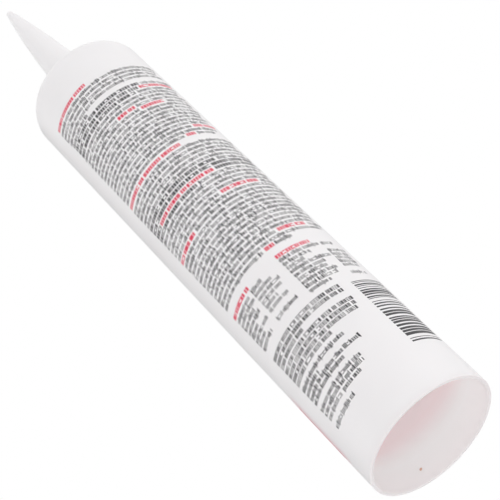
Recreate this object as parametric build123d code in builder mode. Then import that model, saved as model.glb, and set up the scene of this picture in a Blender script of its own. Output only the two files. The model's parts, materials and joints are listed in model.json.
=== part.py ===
from build123d import *
import os

os.makedirs("parts", exist_ok=True)

# A one-piece plastic caulk tube that stands on its open rear rim with its uncut nozzle up.
# Z is the tube's axis, zero is the plane of the rear rim, and all sizes are in millimetres.

# Barrel: a straight tube, open at the rear and closed at the front by a rounded shoulder
barrel_diameter = 50.0
barrel_wall = 1.25
barrel_length = 222.0
rim_chamfer = 0.35
shoulder_thickness = 1.8
shoulder_round = 6.0
shoulder_inner_chamfer = 3.0

# Nozzle: moulded in one with the shoulder, its side swelling beyond a straight cone, its tip not yet cut
nozzle_height = 65.5
nozzle_base_diameter = 16.4
nozzle_tip_diameter = 2.7
nozzle_bulge = 1.15
nozzle_root_round = 2.0
nozzle_tip_round = 1.1
nozzle_wall = 1.2
nozzle_plug_length = 4.0
nozzle_bore_tip_diameter = 1.6

# Foil seal: a disc bonded under the shoulder across the mouth of the nozzle
foil_thickness = 0.2
foil_lap = 3.0

# Plunger: a cup that is open to the rear, with a wiper lip at each end of its skirt
plunger_recess = 30.0
plunger_height = 18.0
plunger_skirt_wall = 1.5
plunger_crown_thickness = 1.8
plunger_floor_chamfer = 2.0
lip_height = 2.0
lip_slope = 0.8
lip_clearance = 0.05

# Sealant: fills the chamber between the plunger and the foil seal
sealant_clearance = 0.25

# Places that several pieces share
barrel_radius = barrel_diameter / 2
bore_radius = barrel_radius - barrel_wall
shoulder_inside = barrel_length - shoulder_thickness
overall_length = barrel_length + nozzle_height
nozzle_base_radius = nozzle_base_diameter / 2
nozzle_tip_radius = nozzle_tip_diameter / 2
throat_radius = nozzle_base_radius - nozzle_wall
foil_underside = shoulder_inside - foil_thickness
plunger_front = plunger_recess + plunger_height


def round_corner(half_section, radius_and_height, round_radius):
    """Rounds the corner of a half-section that lies at the given distance from the axis and height."""
    fillet(half_section.vertices().sort_by_distance(radius_and_height)[0], round_radius)


# Cartridge: barrel, shoulder and nozzle are one moulding, drawn solid and then hollowed from the rear.
# The core that leaves the nozzle's bore has two tapers, which follow the swell of the side.
nozzle_bore_end = overall_length - nozzle_plug_length
nozzle_bore_tip_radius = nozzle_bore_tip_diameter / 2
nozzle_bore_middle = (shoulder_inside + nozzle_bore_end) / 2
nozzle_bore_middle_radius = (throat_radius + nozzle_bore_tip_radius) / 2 + nozzle_bulge

with BuildPart() as cartridge:
    with BuildSketch(Plane.XZ) as outside:
        with BuildLine():
            barrel_side = Polyline(
                (0, overall_length),
                (0, 0),
                (barrel_radius, 0),
                (barrel_radius, barrel_length),
                (nozzle_base_radius, barrel_length),
            )
            nozzle_side = SagittaArc(barrel_side @ 1, (nozzle_tip_radius, overall_length), -nozzle_bulge)
            Line(nozzle_side @ 1, barrel_side @ 0)
        make_face()
        round_corner(outside, (barrel_radius, barrel_length), shoulder_round)
        round_corner(outside, (nozzle_base_radius, barrel_length), nozzle_root_round)
        round_corner(outside, (nozzle_tip_radius, overall_length), nozzle_tip_round)
    revolve(axis=Axis.Z)

    with BuildSketch(Plane.XZ):
        with BuildLine():
            Polyline(
                (0, 0),
                (bore_radius, 0),
                (bore_radius, shoulder_inside - shoulder_inner_chamfer),
                (bore_radius - shoulder_inner_chamfer, shoulder_inside),
                (throat_radius, shoulder_inside),
                (nozzle_bore_middle_radius, nozzle_bore_middle),
                (nozzle_bore_tip_radius, nozzle_bore_end),
                (0, nozzle_bore_end),
                close=True,
            )
        make_face()
    revolve(axis=Axis.Z, mode=Mode.SUBTRACT)

    chamfer(cartridge.faces().sort_by(Axis.Z)[0].edges(), rim_chamfer)

# Foil seal: lies flat against the inside of the shoulder
with BuildPart() as foil_seal:
    with BuildSketch(Plane.XY.offset(foil_underside)):
        Circle(throat_radius + foil_lap)
    extrude(amount=foil_thickness)

# Plunger: its lips run on the bore, the skirt between them is relieved by the slope of the lips,
# and its crown has the chamfer of the shoulder's inside, which it meets at the end of its travel
lip_radius = bore_radius - lip_clearance
skirt_radius = lip_radius - lip_slope
cup_radius = skirt_radius - plunger_skirt_wall
cup_floor = plunger_front - plunger_crown_thickness
rear_lip_top = plunger_recess + lip_height
front_lip_top = plunger_front - shoulder_inner_chamfer
front_lip_bottom = front_lip_top - lip_height

with BuildPart() as plunger:
    with BuildSketch(Plane.XZ):
        with BuildLine():
            Polyline(
                (0, cup_floor),
                (cup_radius - plunger_floor_chamfer, cup_floor),
                (cup_radius, cup_floor - plunger_floor_chamfer),
                (cup_radius, plunger_recess),
                (lip_radius, plunger_recess),
                (lip_radius, rear_lip_top),
                (skirt_radius, rear_lip_top + lip_slope),
                (skirt_radius, front_lip_bottom - lip_slope),
                (lip_radius, front_lip_bottom),
                (lip_radius, front_lip_top),
                (lip_radius - shoulder_inner_chamfer, plunger_front),
                (0, plunger_front),
                close=True,
            )
        make_face()
    revolve(axis=Axis.Z)

# Sealant: a plug with the chamfer of the shoulder's inside
sealant_rear = plunger_front + sealant_clearance
sealant_front = foil_underside - sealant_clearance

with BuildPart() as sealant:
    with BuildSketch(Plane.XY.offset(sealant_rear)):
        Circle(bore_radius - sealant_clearance)
    extrude(amount=sealant_front - sealant_rear)
    chamfer(sealant.faces().sort_by(Axis.Z)[-1].edges(), shoulder_inner_chamfer)

cartridge.part.label = "cartridge"
export_step(cartridge.part, "parts/cartridge.step")

foil_seal.part.label = "foil_seal"
export_step(foil_seal.part, "parts/foil_seal.step")

plunger.part.label = "plunger"
export_step(plunger.part, "parts/plunger.step")

sealant.part.label = "sealant"
export_step(sealant.part, "parts/sealant.step")
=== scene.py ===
"""Looks of a white polyethylene caulk tube that stands on its rear rim with its nozzle up.

Every surface is worked out with numpy about the tube's axis, which is Z. Angles run round that axis from
the side that faces -Y, positive towards +X, so a point of the barrel is (R sin a, -R cos a, z).
Lengths are in metres unless a name ends in _MM, and angles are in radians unless a name ends in _DEG.
"""
import json
import math

import bpy
import numpy as np
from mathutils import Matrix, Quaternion, Vector


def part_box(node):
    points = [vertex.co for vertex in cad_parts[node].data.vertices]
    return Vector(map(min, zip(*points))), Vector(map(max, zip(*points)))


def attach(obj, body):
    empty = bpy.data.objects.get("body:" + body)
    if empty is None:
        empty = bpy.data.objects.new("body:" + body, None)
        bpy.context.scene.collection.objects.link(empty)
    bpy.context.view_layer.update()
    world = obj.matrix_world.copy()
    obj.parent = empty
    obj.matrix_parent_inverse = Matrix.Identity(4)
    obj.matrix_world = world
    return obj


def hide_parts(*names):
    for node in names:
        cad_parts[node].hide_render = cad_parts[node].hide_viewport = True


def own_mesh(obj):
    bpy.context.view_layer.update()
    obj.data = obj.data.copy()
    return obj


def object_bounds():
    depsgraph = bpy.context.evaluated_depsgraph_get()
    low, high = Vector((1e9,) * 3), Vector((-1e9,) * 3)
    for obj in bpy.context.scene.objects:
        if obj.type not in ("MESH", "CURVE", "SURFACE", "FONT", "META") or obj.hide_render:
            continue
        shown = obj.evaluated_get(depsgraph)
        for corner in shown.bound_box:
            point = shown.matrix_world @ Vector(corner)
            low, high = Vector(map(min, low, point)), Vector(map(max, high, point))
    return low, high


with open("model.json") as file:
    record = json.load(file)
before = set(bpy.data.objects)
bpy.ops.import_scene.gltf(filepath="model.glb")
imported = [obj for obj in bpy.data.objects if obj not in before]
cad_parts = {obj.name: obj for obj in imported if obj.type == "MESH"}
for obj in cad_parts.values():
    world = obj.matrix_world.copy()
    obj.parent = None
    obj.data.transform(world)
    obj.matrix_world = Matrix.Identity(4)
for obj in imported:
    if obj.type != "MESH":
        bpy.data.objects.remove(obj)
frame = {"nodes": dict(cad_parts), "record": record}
CAD_LOW, CAD_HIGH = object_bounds()

MM = 0.001

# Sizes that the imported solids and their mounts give
MOUNTS = {mount["name"]: mount for mount in frame["record"]["mounts"]}
BARREL_RADIUS = MOUNTS["barrel"]["dims"]["r_mm"] * MM
BARREL_LENGTH = MOUNTS["front_shoulder"]["pos_m"][2]
BORE_RADIUS = 2 * MOUNTS["rear_rim"]["pos_m"][0] - BARREL_RADIUS
SHOULDER_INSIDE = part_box("foil_seal")[1].z
TIP_HEIGHT = CAD_HIGH.z
NOZZLE_HEIGHT = TIP_HEIGHT - BARREL_LENGTH
PLUNGER_LOW, PLUNGER_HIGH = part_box("plunger")
SEALANT_LOW, SEALANT_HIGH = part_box("sealant")

# Sizes of the moulding that no box or mount holds
SHOULDER_ROUND = 6.0 * MM
SHOULDER_INNER_CHAMFER = 3.0 * MM
RIM_ROUND = 0.35 * MM
NOZZLE_BASE_RADIUS = 8.2 * MM
NOZZLE_TIP_RADIUS = 1.35 * MM
NOZZLE_SWELL = 1.15 * MM
NOZZLE_ROOT_ROUND = 2.0 * MM
NOZZLE_TIP_ROUND = 1.1 * MM
NOZZLE_WALL = 1.2 * MM
NOZZLE_PLUG = 4.0 * MM
NOZZLE_BORE_TIP_RADIUS = 0.8 * MM
INNER_EDGE_ROUND = 0.3 * MM

# Sizes of the plunger, and what is left of the sealant's length at the end of the plunger's travel
CROWN_THICKNESS = 1.8 * MM
SKIRT_WALL = 1.5 * MM
FLOOR_CHAMFER = 2.0 * MM
LIP_HEIGHT = 2.0 * MM
LIP_SLOPE = 0.8 * MM
LIP_EDGE_ROUND = 0.2 * MM

# Fineness of the surfaces
TURN_STEPS = 192
ROUND_STEPS = 10
RUN_STEP = 2.5 * MM


# Surfaces

def unit(vector):
    """The vector divided by its length."""
    return vector / np.linalg.norm(vector)


def smooth_step(value, low, high):
    """0 below low, 1 above high, and 3 s^2 - 2 s^3 between them."""
    share = np.clip((value - low) / (high - low), 0, 1)
    return share * share * (3 - 2 * share)


def rounded_outline(corners):
    """Half-section from axis to axis, as an array of distances from the axis and heights.

    Each corner (r, z, rounding) between the two ends becomes an arc that is tangent to both of its runs.
    The arc starts and ends rounding / tan(half the corner's angle) from the corner, and its points turn
    evenly about the centre on the bisector. Each straight run is divided into equal steps no longer than
    RUN_STEP.
    """
    points = np.array([corner[:2] for corner in corners])
    share = np.linspace(0, 1, ROUND_STEPS + 1)[:, None]
    parts = [points[:1]]

    def run_to(end):
        start = parts[-1][-1]
        steps = max(1, math.ceil(np.linalg.norm(end - start) / RUN_STEP))
        return start + (end - start) * np.linspace(0, 1, steps + 1)[1:, None]

    for before, (radius, height, rounding), after in zip(points, corners[1:-1], points[2:]):
        corner = np.array([radius, height])
        back, ahead = unit(before - corner), unit(after - corner)
        half = math.acos(back @ ahead) / 2
        centre = corner + unit(back + ahead) * rounding / math.sin(half)
        start = corner + back * rounding / math.tan(half) - centre
        end = corner + ahead * rounding / math.tan(half) - centre
        sweep = math.pi - 2 * half
        spoke = (np.sin((1 - share) * sweep) * start + np.sin(share * sweep) * end) / math.sin(sweep)
        arc = centre + spoke
        parts.append(run_to(arc[0]))
        parts.append(arc[1:])
    parts.append(run_to(points[-1]))
    return np.vstack(parts)


def mesh_piece(name, points, faces, material, smooth=True):
    """An object at the origin from an array of points and arrays of face corners, smooth or flat."""
    mesh = bpy.data.meshes.new(name)
    mesh.from_pydata(points.tolist(), [], [face for group in faces for face in group.tolist()])
    mesh.polygons.foreach_set("use_smooth", np.full(len(mesh.polygons), smooth))
    mesh.materials.append(material)
    piece = bpy.data.objects.new(name, mesh)
    bpy.context.scene.collection.objects.link(piece)
    return piece


def closed_skin(name, rings, poles, material):
    """A closed surface over rings of points: quads from ring to ring, and at each end a fan of triangles
    from the pole there to the ring next to it.
    """
    steps = rings.shape[1]
    here = np.arange(rings.shape[0] * steps).reshape(-1, steps)
    beside = np.roll(here, -1, axis=1)
    first_pole, last_pole = np.full(steps, here.size), np.full(steps, here.size + 1)
    sides = np.stack([here[:-1], here[1:], beside[1:], beside[:-1]], axis=-1).reshape(-1, 4)
    first_fan = np.stack([first_pole, here[0], beside[0]], axis=-1)
    last_fan = np.stack([here[-1], last_pole, beside[-1]], axis=-1)
    points = np.vstack([rings.reshape(-1, 3), poles])
    return mesh_piece(name, points, [sides, first_fan, last_fan], material)


def turned(name, outline, material):
    """Surface of revolution about Z: point (i, j) is (r_i sin a_j, -r_i cos a_j, z_i), where a_j is j
    equal steps of a full turn. The outline's two ends lie on the axis and are the poles.
    """
    radius, height = outline[1:-1, :1], outline[1:-1, 1:]
    turn = np.linspace(0, 2 * np.pi, TURN_STEPS, endpoint=False)
    rings = np.stack([radius * np.sin(turn), -radius * np.cos(turn), height + 0 * turn], axis=-1)
    poles = np.array([[0, 0, outline[0, 1]], [0, 0, outline[-1, 1]]])
    return closed_skin(name, rings, poles, material)


# Print films: how far the ink stands out of the barrel, how deep its closed underside lies in it, and how
# far its near and far sides lean in for each unit of height, so that they thicken no stroke that is seen
# at a slant
FILM_RISE = 0.01 * MM
FILM_ROOT = 0.02 * MM
FILM_LEAN = 3.0


def ink_film(name, patches, divisions, material):
    """Closed films of ink on the barrel, one for each row (a0, a1, z0, z1) of patches.

    Corner (k, d, h, t) of film k lies at the barrel's radius less FILM_ROOT or plus FILM_RISE, at the
    height z0 or z1, and at the angle a0 + i + (a1 - a0 - 2 i) d / divisions, where i is FILM_LEAN times
    the corner's height above the barrel, as an angle. The faces of one film, which are its outer and under
    sides, its lower and upper edges and its two ends, are shifted from film to film.
    """
    rise = np.array([-FILM_ROOT, FILM_RISE])
    inset = FILM_LEAN * rise / BARREL_RADIUS
    share = np.linspace(0, 1, divisions + 1)[:, None, None]
    start, end, low, high = patches.T[:, :, None, None, None]
    angle = start + inset + (end - start - 2 * inset) * share
    height = np.concatenate([low, high], axis=2)
    full = np.ones((len(patches), divisions + 1, 2, 2))
    radius = full * (BARREL_RADIUS + rise)
    points = np.stack([radius * np.sin(angle), -radius * np.cos(angle), full * height], axis=-1)

    corner = np.arange((divisions + 1) * 4).reshape(divisions + 1, 2, 2)
    near, far = corner[:-1], corner[1:]
    first, last = corner[:1], corner[-1:]
    one_film = np.vstack([
        np.stack([near[:, 0, 1], far[:, 0, 1], far[:, 1, 1], near[:, 1, 1]], axis=-1),
        np.stack([near[:, 0, 0], near[:, 1, 0], far[:, 1, 0], far[:, 0, 0]], axis=-1),
        np.stack([near[:, 0, 0], far[:, 0, 0], far[:, 0, 1], near[:, 0, 1]], axis=-1),
        np.stack([near[:, 1, 0], near[:, 1, 1], far[:, 1, 1], far[:, 1, 0]], axis=-1),
        np.stack([first[:, 0, 0], first[:, 0, 1], first[:, 1, 1], first[:, 1, 0]], axis=-1),
        np.stack([last[:, 0, 0], last[:, 1, 0], last[:, 1, 1], last[:, 0, 1]], axis=-1),
    ])
    shift = np.arange(len(patches))[:, None, None] * corner.size
    faces = (one_film + shift).reshape(-1, 4)
    return mesh_piece(name, points.reshape(-1, 3), [faces], material, smooth=False)


# Materials

def linear(hex_colour):
    """An sRGB hex colour as linear RGBA."""
    srgb = np.array([int(hex_colour[k:k + 2], 16) for k in (1, 3, 5)]) / 255
    rgb = np.where(srgb <= 0.04045, srgb / 12.92, ((srgb + 0.055) / 1.055) ** 2.4)
    return (*rgb.tolist(), 1.0)


def add_node(tree, kind, settings=None, inputs=None):
    """Adds a node, sets its properties and sets its inputs, or links those that are given a socket."""
    node = tree.nodes.new(kind)
    for key, value in (settings or {}).items():
        setattr(node, key, value)
    for key, value in (inputs or {}).items():
        if isinstance(value, bpy.types.NodeSocket):
            tree.links.new(value, node.inputs[key])
        else:
            node.inputs[key].default_value = value
    return node


def new_material(name):
    """An empty node material, with its tree, its output and the Object coordinates for its patterns."""
    material = bpy.data.materials.new(name)
    material.use_nodes = True
    tree = material.node_tree
    tree.nodes.clear()
    output = add_node(tree, "ShaderNodeOutputMaterial")
    place = add_node(tree, "ShaderNodeTexCoord").outputs["Object"]
    return material, tree, output, place


# Sizes of the patterns: drifts of tone, patches of gloss, the orange peel of mouldings, the folds of the
# paste, the lay of the ink, the grain of the dirt, and the width and length of the foil's rolling lines,
# which are drawn coarser than real ones so that they show
WALL_DRIFT = 25 * MM
WALL_PATCH = 6 * MM
WALL_PEEL = 1.5 * MM
PLUNGER_DRIFT = 12 * MM
PLUNGER_PEEL = 1.2 * MM
PASTE_FOLD = 8 * MM
INK_LAY = 1.8 * MM
DIRT_GRAIN = 0.3 * MM
ROLLING_WIDTH = 0.3 * MM
ROLLING_LENGTH = 12 * MM

# How far light wanders in the wall: little on the outside, which has the paste and the plunger behind it,
# and far on the empty bore
REACH_FILLED = 0.6 * MM
REACH_EMPTY = 14.0 * MM

# Painted light and shade that the wall takes on, by the attribute that holds each one's share at every
# point:
# a lighter empty bore, a pink glow behind the red field, a pink halo beside it, and a greyer rim face
PAINTED_WALL_LIGHT_AND_SHADE = {"open_end_reach_and_painted_light": "#F3F1F2", "painted_pink_glow": "#FF9AA4", "painted_pink_halo": "#DE9CA8", "rim": "#E4DFE0"}


def moulded_polyethylene():
    """High-density polyethylene, injection moulded and printed.

    To the eye it is a soft white with a satin skin. Its tone drifts a little with the wall, and its skin
    has a faint orange peel. The bore is lit through the wall, and its colour also carries painted light:
    lighter where it is empty, with a painted pink glow where red ink lies behind it. The outside has a
    painted pink halo beside that ink, and the rim is painted a little greyer and pinker as painted shade.
    """
    material, tree, output, place = new_material("moulded_polyethylene")
    drift = add_node(
        tree, "ShaderNodeTexNoise", inputs={"Vector": place, "Scale": 1 / WALL_DRIFT, "Detail": 2.0},
    )
    base = add_node(
        tree, "ShaderNodeMix", {"data_type": "RGBA"},
        {"Factor": drift.outputs["Fac"], "A": linear("#E7E5E6"), "B": linear("#EDEBEC")},
    )
    # Painted light and shade over the tone: lighter on the empty bore, pink glow and halo from the red
    # field, greyer rim
    shares = {}
    for name, shade in PAINTED_WALL_LIGHT_AND_SHADE.items():
        shares[name] = add_node(tree, "ShaderNodeAttribute", {"attribute_name": name}).outputs["Fac"]
        base = add_node(
            tree, "ShaderNodeMix", {"data_type": "RGBA"},
            {"Factor": shares[name], "A": base.outputs["Result"], "B": linear(shade)},
        )
    reach = add_node(
        tree, "ShaderNodeMapRange",
        inputs={"Value": shares["open_end_reach_and_painted_light"], "To Min": REACH_FILLED, "To Max": REACH_EMPTY},
    )
    skin = add_node(
        tree, "ShaderNodeTexNoise", inputs={"Vector": place, "Scale": 1 / WALL_PATCH, "Detail": 3.0},
    )
    roughness = add_node(
        tree, "ShaderNodeMapRange", inputs={"Value": skin.outputs["Fac"], "To Min": 0.36, "To Max": 0.48},
    )
    peel = add_node(
        tree, "ShaderNodeTexNoise", inputs={"Vector": place, "Scale": 1 / WALL_PEEL, "Detail": 2.0},
    )
    bump = add_node(
        tree, "ShaderNodeBump",
        inputs={"Height": peel.outputs["Fac"], "Strength": 0.05, "Distance": 0.2 * MM},
    )
    surface = add_node(
        tree, "ShaderNodeBsdfPrincipled",
        inputs={
            "Base Color": base.outputs["Result"],
            "Roughness": roughness.outputs["Result"],
            "IOR": 1.54,
            "Normal": bump.outputs["Normal"],
            "Subsurface Weight": 0.8,
            "Subsurface Radius": (1.0, 0.97, 0.95),
            "Subsurface Scale": reach.outputs["Result"],
        },
    )
    tree.links.new(surface.outputs["BSDF"], output.inputs["Surface"])
    return material


def soft_polyethylene():
    """Low-density polyethylene, moulded undyed: a milky white, a little waxy and greyer than the tube."""
    material, tree, output, place = new_material("soft_polyethylene")
    drift = add_node(
        tree, "ShaderNodeTexNoise", inputs={"Vector": place, "Scale": 1 / PLUNGER_DRIFT, "Detail": 3.0},
    )
    tone = add_node(
        tree, "ShaderNodeMix", {"data_type": "RGBA"},
        {"Factor": drift.outputs["Fac"], "A": linear("#DCDBD7"), "B": linear("#E6E5E2")},
    )
    peel = add_node(
        tree, "ShaderNodeTexNoise", inputs={"Vector": place, "Scale": 1 / PLUNGER_PEEL, "Detail": 2.0},
    )
    bump = add_node(
        tree, "ShaderNodeBump",
        inputs={"Height": peel.outputs["Fac"], "Strength": 0.08, "Distance": 0.2 * MM},
    )
    surface = add_node(
        tree, "ShaderNodeBsdfPrincipled",
        inputs={
            "Base Color": tone.outputs["Result"],
            "Roughness": 0.4,
            "IOR": 1.51,
            "Normal": bump.outputs["Normal"],
        },
    )
    tree.links.new(surface.outputs["BSDF"], output.inputs["Surface"])
    return material


def silicone_paste():
    """Uncured clear silicone: a cloudy, wet-looking paste with small folds where it was filled in."""
    material, tree, output, place = new_material("silicone_paste")
    folds = add_node(
        tree, "ShaderNodeTexNoise", inputs={"Vector": place, "Scale": 1 / PASTE_FOLD, "Detail": 3.0},
    )
    tone = add_node(
        tree, "ShaderNodeMix", {"data_type": "RGBA"},
        {"Factor": folds.outputs["Fac"], "A": linear("#D3D8D8"), "B": linear("#E6E9E8")},
    )
    bump = add_node(
        tree, "ShaderNodeBump",
        inputs={"Height": folds.outputs["Fac"], "Strength": 0.3, "Distance": 0.5 * MM},
    )
    surface = add_node(
        tree, "ShaderNodeBsdfPrincipled",
        inputs={
            "Base Color": tone.outputs["Result"],
            "Roughness": 0.18,
            "IOR": 1.41,
            "Normal": bump.outputs["Normal"],
        },
    )
    tree.links.new(surface.outputs["BSDF"], output.inputs["Surface"])
    return material


def rolled_foil():
    """Aluminium foil, rolled: bright, with fine lines along the rolling direction."""
    material, tree, output, place = new_material("rolled_foil")
    stretched = add_node(
        tree, "ShaderNodeMapping",
        inputs={"Vector": place, "Scale": (1 / ROLLING_WIDTH, 1 / ROLLING_LENGTH, 1 / ROLLING_LENGTH)},
    )
    lines = add_node(
        tree, "ShaderNodeTexNoise", inputs={"Vector": stretched.outputs["Vector"], "Scale": 1.0},
    )
    roughness = add_node(
        tree, "ShaderNodeMapRange", inputs={"Value": lines.outputs["Fac"], "To Min": 0.2, "To Max": 0.38},
    )
    bump = add_node(
        tree, "ShaderNodeBump",
        inputs={"Height": lines.outputs["Fac"], "Strength": 0.1, "Distance": 0.05 * MM},
    )
    surface = add_node(
        tree, "ShaderNodeBsdfPrincipled",
        inputs={
            "Base Color": linear("#D9D9DB"),
            "Metallic": 1.0,
            "Roughness": roughness.outputs["Result"],
            "Normal": bump.outputs["Normal"],
        },
    )
    tree.links.new(surface.outputs["BSDF"], output.inputs["Surface"])
    return material


def printed_ink(name, thin, full):
    """Screen-printed ink: a thin satin film that lies unevenly, from the thin to the full colour."""
    material, tree, output, place = new_material(name)
    lay = add_node(
        tree, "ShaderNodeTexNoise", inputs={"Vector": place, "Scale": 1 / INK_LAY, "Detail": 3.0},
    )
    tone = add_node(
        tree, "ShaderNodeMix", {"data_type": "RGBA"},
        {"Factor": lay.outputs["Fac"], "A": linear(thin), "B": linear(full)},
    )
    roughness = add_node(
        tree, "ShaderNodeMapRange", inputs={"Value": lay.outputs["Fac"], "To Min": 0.24, "To Max": 0.4},
    )
    surface = add_node(
        tree, "ShaderNodeBsdfPrincipled",
        inputs={
            "Base Color": tone.outputs["Result"],
            "Roughness": roughness.outputs["Result"],
            "IOR": 1.5,
        },
    )
    tree.links.new(surface.outputs["BSDF"], output.inputs["Surface"])
    return material


def dry_dirt():
    """Dry dirt: matt and crumbly, in pale clay colours."""
    material, tree, output, place = new_material("dry_dirt")
    grain = add_node(
        tree, "ShaderNodeTexNoise", inputs={"Vector": place, "Scale": 1 / DIRT_GRAIN, "Detail": 3.0},
    )
    tone = add_node(
        tree, "ShaderNodeMix", {"data_type": "RGBA"},
        {"Factor": grain.outputs["Fac"], "A": linear("#EEC4B0"), "B": linear("#D9A78F")},
    )
    bump = add_node(
        tree, "ShaderNodeBump",
        inputs={"Height": grain.outputs["Fac"], "Strength": 0.4, "Distance": 0.05 * MM},
    )
    surface = add_node(
        tree, "ShaderNodeBsdfPrincipled",
        inputs={
            "Base Color": tone.outputs["Result"],
            "Roughness": 0.85,
            "IOR": 1.5,
            "Normal": bump.outputs["Normal"],
        },
    )
    tree.links.new(surface.outputs["BSDF"], output.inputs["Surface"])
    return material


DARK_INK = printed_ink("dark_ink", "#3A383B", "#1F1E21")
RED_INK = printed_ink("red_ink", "#E2405E", "#CF2647")


# Cartridge

# Red field: where it is printed round the rear end, on the side that faces away
RED_FIELD_START = math.radians(-255)
RED_FIELD_END = math.radians(-81.5)
RED_FIELD_LOW = 15.5 * MM
RED_FIELD_HIGH = 41 * MM

# Painted light from the red field on the wall: the painted pink glow behind it and the softness of the
# glow's edges, the painted pink blush on the rest of the bore and the height over which that fades, and the
# painted pink halo beside it
GLOW = 0.58
GLOW_SOFTNESS = 5.0 * MM
BLUSH = 0.16
BLUSH_FADE = 40 * MM
HALO = 0.5
HALO_WIDTH = 6 * MM

# The open end, where light reaches far in the wall and the colour is lighter as painted light: its share at
# the rim, the height at which it is full, and how far the rim's painted shade reaches
OPEN_AT_RIM = 0.5
OPEN_END_RISE = 12 * MM
RIM_FADE = 0.6 * MM


def cartridge_outline():
    """The moulding's half-section from the nozzle tip, down the outside and up the bore to the tip's plug.

    Beyond the shoulder both sides of the nozzle swell by 4 NOZZLE_SWELL s (1 - s), with s the share of its
    height.
    """
    throat = NOZZLE_BASE_RADIUS - NOZZLE_WALL
    bore_end = TIP_HEIGHT - NOZZLE_PLUG
    outline = rounded_outline([
        (0, TIP_HEIGHT),
        (NOZZLE_TIP_RADIUS, TIP_HEIGHT, NOZZLE_TIP_ROUND),
        (NOZZLE_BASE_RADIUS, BARREL_LENGTH, NOZZLE_ROOT_ROUND),
        (BARREL_RADIUS, BARREL_LENGTH, SHOULDER_ROUND),
        (BARREL_RADIUS, 0, RIM_ROUND),
        (BORE_RADIUS, 0, RIM_ROUND),
        (BORE_RADIUS, SHOULDER_INSIDE - SHOULDER_INNER_CHAMFER, INNER_EDGE_ROUND),
        (BORE_RADIUS - SHOULDER_INNER_CHAMFER, SHOULDER_INSIDE, INNER_EDGE_ROUND),
        (throat, SHOULDER_INSIDE, INNER_EDGE_ROUND),
        (NOZZLE_BORE_TIP_RADIUS, bore_end, INNER_EDGE_ROUND),
        (0, bore_end),
    ])
    share = np.clip((outline[:, 1] - BARREL_LENGTH) / NOZZLE_HEIGHT, 0, 1)
    outline[1:-1, 0] += (4 * NOZZLE_SWELL * share * (1 - share))[1:-1]
    return outline


def mark_wall(piece):
    """Stores the shares of PAINTED_WALL_LIGHT_AND_SHADE at every point of the cartridge.

    painted_pink_glow is a painted pink glow: GLOW on the bore behind the red field, with soft edges, and
    BLUSH times that on the rest of the bore, fading out above the field. painted_pink_halo is a painted
    pink halo: HALO on the outside at the red field, falling to 0 at HALO_WIDTH from it. rim is painted
    shade: 1 on the rim's face, falling to 0 at RIM_FADE. open_end_reach_and_painted_light rises on the bore
    from OPEN_AT_RIM to 1, and is 0 on the rim's face;
    it lengthens the light's reach in the wall and lightens the colour as painted light. Every fall and rise
    is a smooth step.
    """
    place = np.empty(len(piece.data.vertices) * 3)
    piece.data.vertices.foreach_get("co", place)
    x, y, z = place.reshape(-1, 3).T
    inside = np.hypot(x, y) < (BARREL_RADIUS + BORE_RADIUS) / 2
    bore = inside & (z < SHOULDER_INSIDE - SHOULDER_INNER_CHAMFER)

    angle = np.mod(np.arctan2(x, -y) - RED_FIELD_START, 2 * np.pi)
    across = RED_FIELD_END - RED_FIELD_START
    turn = GLOW_SOFTNESS / BORE_RADIUS
    # Painted pink glow on the bore behind the red field, as its red light through the wall would give
    glow = smooth_step(z, RED_FIELD_LOW - GLOW_SOFTNESS, RED_FIELD_LOW + GLOW_SOFTNESS)
    glow *= 1 - smooth_step(z, RED_FIELD_HIGH - GLOW_SOFTNESS, RED_FIELD_HIGH + GLOW_SOFTNESS)
    glow *= smooth_step(angle, 0, turn) * (1 - smooth_step(angle, across - turn, across))
    blush = BLUSH * (1 - smooth_step(z, RED_FIELD_HIGH, RED_FIELD_HIGH + BLUSH_FADE))
    # Painted pink halo on the outside beside the red field, for red light spreading in the wall
    aside = BARREL_RADIUS * np.maximum(0, np.minimum(angle - across, 2 * np.pi - angle))
    apart = np.maximum(0, np.maximum(RED_FIELD_LOW - z, z - RED_FIELD_HIGH))
    # Painted shade: the rim's face is drawn greyer and a little pink
    rim = 1 - smooth_step(z, 0, RIM_FADE)
    # Painted light: the empty bore is drawn lighter, for the light that comes through its wall
    opened = OPEN_AT_RIM + (1 - OPEN_AT_RIM) * smooth_step(z, 0, OPEN_END_RISE)

    shares = {
        "painted_pink_glow": GLOW * bore * (blush + (1 - BLUSH) * glow),
        "painted_pink_halo": HALO * ~inside * (1 - smooth_step(np.hypot(aside, apart), 0, HALO_WIDTH)),
        "open_end_reach_and_painted_light": bore * (1 - rim) * opened,
        "rim": rim,
    }
    for name, values in shares.items():
        attribute = piece.data.attributes.new(name, "FLOAT", "POINT")
        attribute.data.foreach_set("value", values.astype(np.float32))


cartridge = turned("cartridge_shell", cartridge_outline(), moulded_polyethylene())
mark_wall(cartridge)
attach(cartridge, "cartridge")
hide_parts("cartridge")


# Plunger

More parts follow.
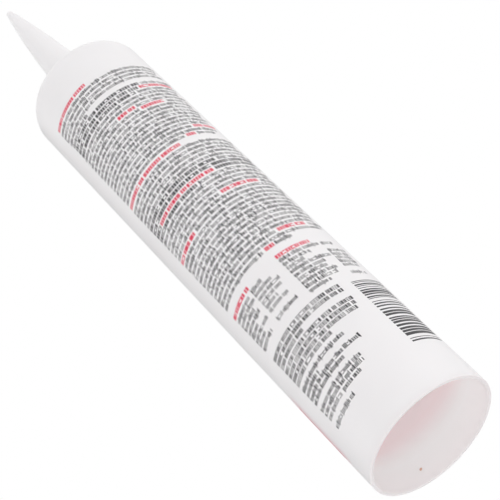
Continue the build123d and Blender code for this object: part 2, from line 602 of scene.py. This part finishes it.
def plunger_outline():
    """The cup's half-section from the middle of its crown, down the lips and skirt and up to its floor."""
    lip = PLUNGER_HIGH.x
    skirt = lip - LIP_SLOPE
    cup = skirt - SKIRT_WALL
    low, front = PLUNGER_LOW.z, PLUNGER_HIGH.z
    floor = front - CROWN_THICKNESS
    lip_top = front - SHOULDER_INNER_CHAMFER
    lip_bottom = lip_top - LIP_HEIGHT
    return rounded_outline([
        (0, front),
        (lip - SHOULDER_INNER_CHAMFER, front, INNER_EDGE_ROUND),
        (lip, lip_top, LIP_EDGE_ROUND),
        (lip, lip_bottom, LIP_EDGE_ROUND),
        (skirt, lip_bottom - LIP_SLOPE, LIP_EDGE_ROUND),
        (skirt, low + LIP_HEIGHT + LIP_SLOPE, LIP_EDGE_ROUND),
        (lip, low + LIP_HEIGHT, LIP_EDGE_ROUND),
        (lip, low, LIP_EDGE_ROUND),
        (cup, low, LIP_EDGE_ROUND),
        (cup, floor - FLOOR_CHAMFER, INNER_EDGE_ROUND),
        (cup - FLOOR_CHAMFER, floor, INNER_EDGE_ROUND),
        (0, floor),
    ])


plunger = turned("plunger_cup", plunger_outline(), soft_polyethylene())
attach(plunger, "plunger")
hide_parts("plunger")


# Sealant

def sealant_outline():
    """The paste's half-section from the foil seal down to the plunger."""
    radius, low, high = SEALANT_HIGH.x, SEALANT_LOW.z, SEALANT_HIGH.z
    return rounded_outline([
        (0, high),
        (radius - SHOULDER_INNER_CHAMFER, high, INNER_EDGE_ROUND),
        (radius, high - SHOULDER_INNER_CHAMFER, INNER_EDGE_ROUND),
        (radius, low, INNER_EDGE_ROUND),
        (0, low),
    ])


sealant = turned("sealant_paste", sealant_outline(), silicone_paste())
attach(sealant, "cartridge")
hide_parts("sealant")
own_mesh(sealant)

# Foil seal: the solid itself, with the look of foil
foil = frame["nodes"]["foil_seal"]
foil.data.materials.clear()
foil.data.materials.append(rolled_foil())


# Print: rows of plain strokes, a group of bars, and the red field

# Heights of low and tall uprights, and of the rows that have one height
LOW_HEIGHT = 1.35 * MM
TALL_HEIGHT = 1.85 * MM
CAPITAL_HEIGHT = 1.65 * MM
BOLD_CAPITAL_HEIGHT = 1.75 * MM

# Styles of a row: the pitch of its marks, the width of a stroke, the heights of low and tall uprights, and
# how often an upright is tall or drops below the foot
STYLES = {
    "plain": dict(
        pitch=0.8 * MM, stem=0.31 * MM, low=LOW_HEIGHT, tall=TALL_HEIGHT,
        tall_share=0.35, drop_share=0.14,
    ),
    "bold_low": dict(
        pitch=0.86 * MM, stem=0.37 * MM, low=LOW_HEIGHT, tall=TALL_HEIGHT,
        tall_share=0.35, drop_share=0.1,
    ),
    "capitals": dict(
        pitch=0.92 * MM, stem=0.36 * MM, low=CAPITAL_HEIGHT, tall=CAPITAL_HEIGHT,
        tall_share=0, drop_share=0,
    ),
    "bold": dict(
        pitch=0.98 * MM, stem=0.5 * MM, low=BOLD_CAPITAL_HEIGHT, tall=BOLD_CAPITAL_HEIGHT,
        tall_share=0, drop_share=0,
    ),
}
STYLES["red"] = {**STYLES["bold"], "stem": 0.56 * MM}
STYLES["fine"] = {**STYLES["plain"], "stem": 0.28 * MM}

# Kinds of mark: one upright, two uprights or a stack of level dashes, and how often each comes
SLIM, PAIR, STACK = range(3)
KIND_SHARES = (0.25, 0.42, 0.33)

# Shares of a row's pitch: the advance of a slim mark, the least and the most of a full one, the gap beside
# a mark and the gap before a new group of marks
SLIM_ADVANCE = 0.6
FULL_ADVANCE = (0.95, 1.25)
MARK_GAP = 0.28
GROUP_GAP = 0.55

# Marks of a group: at least the first number, and fewer than the second
GROUP_LENGTHS = (3, 11)

# Dashes of a stack: their places from foot to head, how often each comes, and their thickness in stems
DASH_PLACES = (0, 0.5, 1)
DASH_SHARES = (1, 0.8, 1)
DASH_THICKNESS = 0.95

# How far an upright drops, as a share of the low height
DROP = 0.35

# Marks that are drawn at random for each pitch of the row, so that there are enough slim ones to fill it
MARKS_DRAWN = 1.4


def stroke_row(rng, left, right, middle, pitch, stem, low, tall, tall_share, drop_share):
    """A row of plain strokes, as patches (a0, a1, z0, z1).

    The row is set in marks that advance by a pitch or so, with a gap after every few of them. A slim mark
    is one upright, and a full one is either two uprights, at its near and far sides, or a stack of level
    dashes that are as wide as the mark. No upright meets a dash, but the two uprights of a narrow mark
    overlap. Some uprights are tall or drop below the foot, which lies half of LOW_HEIGHT under the row's
    middle. The marks that fit are spread so that the last of them ends at the right edge.
    """
    count = int(MARKS_DRAWN * (right - left) * BARREL_RADIUS / pitch)
    kind = rng.choice(len(KIND_SHARES), count, p=KIND_SHARES)
    advance = pitch * np.where(kind == SLIM, SLIM_ADVANCE, rng.uniform(*FULL_ADVANCE, count))
    group_ends = np.cumsum(rng.integers(*GROUP_LENGTHS, count))
    gap = np.zeros(count)
    gap[group_ends[group_ends < count]] = GROUP_GAP * pitch
    near = np.cumsum(advance + gap) - advance
    far = near + advance - MARK_GAP * pitch
    fits = far < (right - left) * BARREL_RADIUS
    spread = (right - left) / far[fits].max()
    near, far = left + spread * near, left + spread * far
    width = stem / BARREL_RADIUS
    foot = np.full(count, middle - LOW_HEIGHT / 2)
    top = foot + np.where(rng.random((2, count)) < tall_share, tall, low)
    bottom = foot - np.where(rng.random((2, count)) < drop_share, DROP * low, 0)
    patches = [
        np.stack([near, near + width, bottom[0], top[0]], axis=-1)[fits & (kind != STACK)],
        np.stack([far - width, far, bottom[1], top[1]], axis=-1)[fits & (kind == PAIR)],
    ]
    thickness = DASH_THICKNESS * stem
    for place, share in zip(DASH_PLACES, DASH_SHARES):
        level = foot + place * (low - thickness)
        dash = np.stack([near, far, level, level + thickness], axis=-1)
        patches.append(dash[fits & (kind == STACK) & (rng.random(count) < share)])
    return np.vstack(patches)


# Layout of the rows, with heights in mm above the rear rim and edges in degrees round the axis. A stretch
# is (style, left edge, right edge), with its height last where it stands alone.
PANEL_PITCH_MM = 2.32
TABLE_PITCH_MM = 2.16

# The right edge of a panel's plain rows steps back by RAG_STEP_DEG from row to row, within RAG_DEPTH_DEG
RAG_STEP_DEG = 3
RAG_DEPTH_DEG = 7

PANEL_HEADINGS = [("red", -49, 2, 198.7), ("red", -50, 24, 144.6)]

# Panels of plain rows, and the rows by number that are made of other stretches
PANELS = (
    dict(top=196.2, rows=22, left=-50, right=76, marked={
        4: [("plain", -49, -15)],
        5: [("bold", -49, 40), ("plain", 42, 77)],
        6: [("bold", -49, 36), ("red", 38, 74)],
        7: [("bold", -49, 30), ("plain", 33, 76)],
        10: [("plain", -50, 0), ("red", 2, 20), ("plain", 22, 77)],
        11: [("plain", -50, 21), ("red", 24, 46), ("plain", 50, 75)],
        19: [("plain", -50, 47), ("red", 50, 75)],
        21: [("plain", -50, 33), ("red", 36, 44), ("plain", 47, 66)],
    }),
    dict(top=142.1, rows=27, left=-51, right=79, marked={
        5: [("bold", -51, 38), ("plain", 41, 80)],
        6: [("bold", -51, 77)],
        7: [("bold", -51, -39), ("red", -37, 29), ("bold", 32, 78)],
        8: [("bold", -51, 9), ("plain", 12, 79)],
        12: [("plain", -51, 17), ("red", 20, 56), ("plain", 60, 80)],
        14: [("red", -51, -20), ("plain", -17, 78)],
        24: [("plain", -51, 28), ("red", 31, 58), ("plain", 62, 79)],
        26: [("plain", -51, 8), ("red", 11, 19), ("plain", 21, 36)],
    }),
)

TABLE_HEADINGS = [("red", -51, -20, 76.4), ("red", 12.5, 44, 76.4)]

# Tables of two columns: where their labels and values start, and where each row's label and value end
TABLES = (
    dict(top=74.0, label_start=-51, value_start=-20.5, ends=(
        (-25, -8), (-23, -1), (-29, 4), (-26, 2), (-36, -6), (-25, 1), (-36, None), (-30, 3),
    )),
    dict(top=74.3, label_start=12.5, value_start=53, ends=(
        (50, 66), (38, None), (29, 73), (51, 74), (42, 72), (40, 73), (46, 71), (43, None), (33, 71),
    )),
)

# Blocks near the rear end: style, height of the first row, and where each row ends
BLOCK_LEFT_DEG = -51
BLOCKS = (
    ("capitals", 52.7, (33, 33, -12)),
    ("capitals", 45.9, (34, 33, 31, 2)),
    ("bold_low", 36.2, (8, -26, 16, -4)),
    ("plain", 26.2, (6, 5, -25)),
)
LAST_STRETCHES = [("bold_low", -22, -2, 26.2 - 2 * TABLE_PITCH_MM), ("plain", -51, -18, 18.0)]


def print_layout():
    """Every stretch of the print as (style, left edge in degrees, right edge in degrees, height in mm)."""
    layout = list(PANEL_HEADINGS)
    for panel in PANELS:
        for row in range(panel["rows"]):
            right = panel["right"] - (RAG_STEP_DEG * row) % RAG_DEPTH_DEG
            for stretch in panel["marked"].get(row, [("plain", panel["left"], right)]):
                layout.append((*stretch, panel["top"] - row * PANEL_PITCH_MM))
    layout += TABLE_HEADINGS
    for table in TABLES:
        for row, (label_end, value_end) in enumerate(table["ends"]):
            height = table["top"] - row * TABLE_PITCH_MM
            layout.append(("plain", table["label_start"], label_end, height))
            if value_end is not None:
                layout.append(("fine", table["value_start"], value_end, height))
    for style, top, ends in BLOCKS:
        for row, end in enumerate(ends):
            layout.append((style, BLOCK_LEFT_DEG, end, top - row * TABLE_PITCH_MM))
    return layout + LAST_STRETCHES


STROKE_SEED = 7


def printed_rows():
    """The patches of all rows, by ink."""
    rng = np.random.default_rng(STROKE_SEED)
    rows = {"dark": [], "red": []}
    for style, left, right, height in print_layout():
        ink = "red" if style == "red" else "dark"
        edges = math.radians(left), math.radians(right)
        rows[ink].append(stroke_row(rng, *edges, height * MM, **STYLES[style]))
    return {ink: np.vstack(patches) for ink, patches in rows.items()}


BARS_LEFT, BARS_RIGHT = math.radians(43.8), math.radians(78.5)
BARS_LOW, BARS_HIGH = 19.4 * MM, 52.6 * MM
BAR_UNIT = 0.343 * MM
BAR_UNITS = (1, 1, 1, 1, 2, 2, 2, 3, 3, 4)
BARS_AT_MOST = 60
BAR_SEED = 188


def bar_group():
    """A group of level bars from BARS_LOW to BARS_HIGH that says nothing, as patches (a0, a1, z0, z1).

    Each bar and the gap above it are a few units high, drawn from BAR_UNITS.
    """
    rng = np.random.default_rng(BAR_SEED)
    bars, gaps = rng.choice(BAR_UNITS, (2, BARS_AT_MOST)) * BAR_UNIT
    foot = BARS_LOW + np.cumsum(bars + gaps) - (bars + gaps)
    sides = np.full((BARS_AT_MOST, 2), (BARS_LEFT, BARS_RIGHT))
    patches = np.column_stack([sides, foot, foot + bars])
    return patches[foot + bars < BARS_HIGH]


# Flat steps that each kind of film takes round the barrel
STROKE_DIVISIONS = 1
BAR_DIVISIONS = 24
FIELD_DIVISIONS = 96

ROWS = printed_rows()
RED_FIELD = np.array([[RED_FIELD_START, RED_FIELD_END, RED_FIELD_LOW, RED_FIELD_HIGH]])
PRINT = (
    ("print_dark", ROWS["dark"], STROKE_DIVISIONS, DARK_INK),
    ("print_red", ROWS["red"], STROKE_DIVISIONS, RED_INK),
    ("print_bars", bar_group(), BAR_DIVISIONS, DARK_INK),
    ("print_red_field", RED_FIELD, FIELD_DIVISIONS, RED_INK),
)
# Only the eye and reflections meet the ink, so that it neither shades nor tints the wall round it
for film_parts in PRINT:
    film = ink_film(*film_parts)
    film.visible_diffuse = False
    film.visible_shadow = False
    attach(film, "cartridge")


# Speck: a crumb of dirt that sticks to the bore near the rim
SPECK_ANGLE = math.radians(205.7)
SPECK_HEIGHT = 5.5 * MM
SPECK_SLANT = math.radians(-34)
SPECK_RADII = (0.68 * MM, 0.42 * MM, 0.15 * MM)
SPECK_TILTS = 9
SPECK_TURNS = 16


def crumb(name, angle, height, slant, radii, material):
    """An ellipsoid with its middle on the bore.

    Point (i, j) is sin b_i (cos a_j, sin a_j) along two tangents of the bore and cos b_i along its inward
    normal, each times its radius. The first tangent is the level one, turned by the slant towards the
    upright one, and the second is square to it.
    """
    tilt = np.linspace(0, np.pi, SPECK_TILTS)[1:-1, None, None]
    turn = np.linspace(0, 2 * np.pi, SPECK_TURNS, endpoint=False)[:, None]
    level = np.array([np.cos(angle), np.sin(angle), 0])
    upright = np.array([0, 0, 1])
    inward = np.array([-np.sin(angle), np.cos(angle), 0])
    along = np.cos(slant) * level + np.sin(slant) * upright
    across = np.cos(slant) * upright - np.sin(slant) * level
    middle = -BORE_RADIUS * inward + height * upright
    rings = middle + (
        radii[0] * np.sin(tilt) * np.cos(turn) * along
        + radii[1] * np.sin(tilt) * np.sin(turn) * across
        + radii[2] * np.cos(tilt) * inward
    )
    poles = np.stack([middle + radii[2] * inward, middle - radii[2] * inward])
    return closed_skin(name, rings, poles, material)


speck = crumb("dirt_speck", SPECK_ANGLE, SPECK_HEIGHT, SPECK_SLANT, SPECK_RADII, dry_dirt())
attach(speck, "cartridge")


# Stage: a pale floor that is seen from above only, white surroundings and soft light

FLOOR_RADIUS = 1.2
FLOOR_FADE_START = 0.35 * FLOOR_RADIUS
FLOOR_STEPS = 96
AMBIENT = 0.93


def pale_floor():
    """A matt pale floor that fades out into the surroundings, and that can't be seen from below."""
    material, tree, output, place = new_material("pale_floor")
    matt = add_node(tree, "ShaderNodeBsdfDiffuse", inputs={"Color": linear("#DCDDDE")})
    clear = add_node(tree, "ShaderNodeBsdfTransparent")
    reach = add_node(tree, "ShaderNodeVectorMath", {"operation": "LENGTH"}, {0: place})
    fade = add_node(
        tree, "ShaderNodeMapRange", {"interpolation_type": "SMOOTHSTEP"},
        {"Value": reach.outputs["Value"], "From Min": FLOOR_FADE_START, "From Max": FLOOR_RADIUS},
    )
    below = add_node(tree, "ShaderNodeNewGeometry").outputs["Backfacing"]
    hidden = add_node(
        tree, "ShaderNodeMath", {"operation": "MAXIMUM"}, {0: fade.outputs["Result"], 1: below},
    )
    mixed = add_node(
        tree, "ShaderNodeMixShader",
        inputs={0: hidden.outputs["Value"], 1: matt.outputs["BSDF"], 2: clear.outputs["BSDF"]},
    )
    tree.links.new(mixed.outputs["Shader"], output.inputs["Surface"])
    return material


def floor_disc():
    """A flat disc at the height of the rear rim, with its corners on a circle of FLOOR_RADIUS."""
    turn = np.linspace(0, 2 * np.pi, FLOOR_STEPS, endpoint=False)
    points = FLOOR_RADIUS * np.stack([np.cos(turn), np.sin(turn), 0 * turn], axis=-1)
    return mesh_piece("floor", points, [np.arange(FLOOR_STEPS)[None]], pale_floor())


floor = floor_disc()
floor.visible_diffuse = False
floor.visible_glossy = False
floor.visible_shadow = False


def white_surroundings():
    """A world that lights the tube with AMBIENT, and that is white to the eye, in gloss and in glass."""
    world = bpy.data.worlds.new("white_surroundings")
    world.use_nodes = True
    tree = world.node_tree
    tree.nodes.clear()
    ray = add_node(tree, "ShaderNodeLightPath").outputs
    seen = ray["Is Camera Ray"]
    for kind in ("Is Glossy Ray", "Is Transmission Ray"):
        either = add_node(tree, "ShaderNodeMath", {"operation": "MAXIMUM"}, {0: seen, 1: ray[kind]})
        seen = either.outputs["Value"]
    strength = add_node(
        tree, "ShaderNodeMapRange", inputs={"Value": seen, "To Min": AMBIENT, "To Max": 1.0},
    )
    surround = add_node(
        tree, "ShaderNodeBackground",
        inputs={"Color": linear("#FFFFFF"), "Strength": strength.outputs["Result"]},
    )
    output = add_node(tree, "ShaderNodeOutputWorld")
    tree.links.new(surround.outputs["Background"], output.inputs["Surface"])
    return world


bpy.context.scene.world = white_surroundings()

# Lamps: square and soft, all turned to the middle of the barrel
LAMP_AIM = (0, 0, 0.12)
LAMP_SIZE = 0.6
LAMPS = {
    "key_lamp": dict(place=(0.95, -0.4, 0.25), power=1.6),
    "fill_lamp": dict(place=(-0.5, -0.75, -0.5), power=0.9),
}


def soft_lamp(name, place, power):
    """A square area lamp at a place, turned to LAMP_AIM."""
    lamp = bpy.data.lights.new(name, "AREA")
    lamp.size = LAMP_SIZE
    lamp.energy = power
    holder = bpy.data.objects.new(name, lamp)
    holder.location = place
    holder.rotation_euler = (Vector(LAMP_AIM) - Vector(place)).to_track_quat("-Z", "Y").to_euler()
    bpy.context.scene.collection.objects.link(holder)


for lamp_name, lamp_settings in LAMPS.items():
    soft_lamp(lamp_name, **lamp_settings)

# Flags: grey cards behind the tube, left and right of it, which only its gloss sees at its edges
FLAGS = {
    "dark_flag": dict(place=(-0.229, 0.328, 0.41), size=(0.67, 0.5), tone="#707070"),
    "pale_flag": dict(place=(0.165, 0.364, 0.41), size=(0.3, 0.5), tone="#C0C0C0"),
}


def matt_card(name, tone):
    """Matt card in one tone."""
    material, tree, output, _ = new_material(name)
    card = add_node(tree, "ShaderNodeBsdfDiffuse", inputs={"Color": linear(tone)})
    tree.links.new(card.outputs["BSDF"], output.inputs["Surface"])
    return material


def flag_card(name, place, size, tone):
    """An upright rectangle round its place that faces the tube's axis."""
    across = np.array([-place[1], place[0], 0]) / np.hypot(*place[:2])
    upright = np.array([0, 0, 1])
    corners = np.array([[-1, -1], [1, -1], [1, 1], [-1, 1]]) / 2 * size
    points = place + corners[:, :1] * across + corners[:, 1:] * upright
    return mesh_piece(name, points, [np.arange(4)[None]], matt_card(name, tone))


for flag_name, flag_settings in FLAGS.items():
    flag = flag_card(flag_name, **flag_settings)
    flag.visible_camera = False
    flag.visible_diffuse = False
    flag.visible_shadow = False
    flag.visible_transmission = False

# Camera: below and behind the open rear end, rolled so that the tube lies across the picture's diagonal
CAMERA_PLACE = Vector((0.0, -447.8 * MM, -229.6 * MM))
CAMERA_AIM = Vector((1.2 * MM, 0.0, 104.8 * MM))
CAMERA_ROLL = math.radians(45.06)
CAMERA_CLIP = 10 * MM
FOCAL_LENGTH_MM = 111.06
SENSOR_MM = 36.0

camera_data = bpy.data.cameras.new("camera")
camera_data.lens = FOCAL_LENGTH_MM
camera_data.sensor_width = SENSOR_MM
camera_data.clip_start = CAMERA_CLIP
camera = bpy.data.objects.new("camera", camera_data)
camera.location = CAMERA_PLACE
camera.rotation_mode = "QUATERNION"
camera.rotation_quaternion = (
    (CAMERA_AIM - CAMERA_PLACE).to_track_quat("-Z", "Y") @ Quaternion((0, 0, 1), -CAMERA_ROLL)
)
bpy.context.scene.collection.objects.link(camera)
bpy.context.scene.camera = camera

bpy.context.scene.view_settings.view_transform = "Standard"
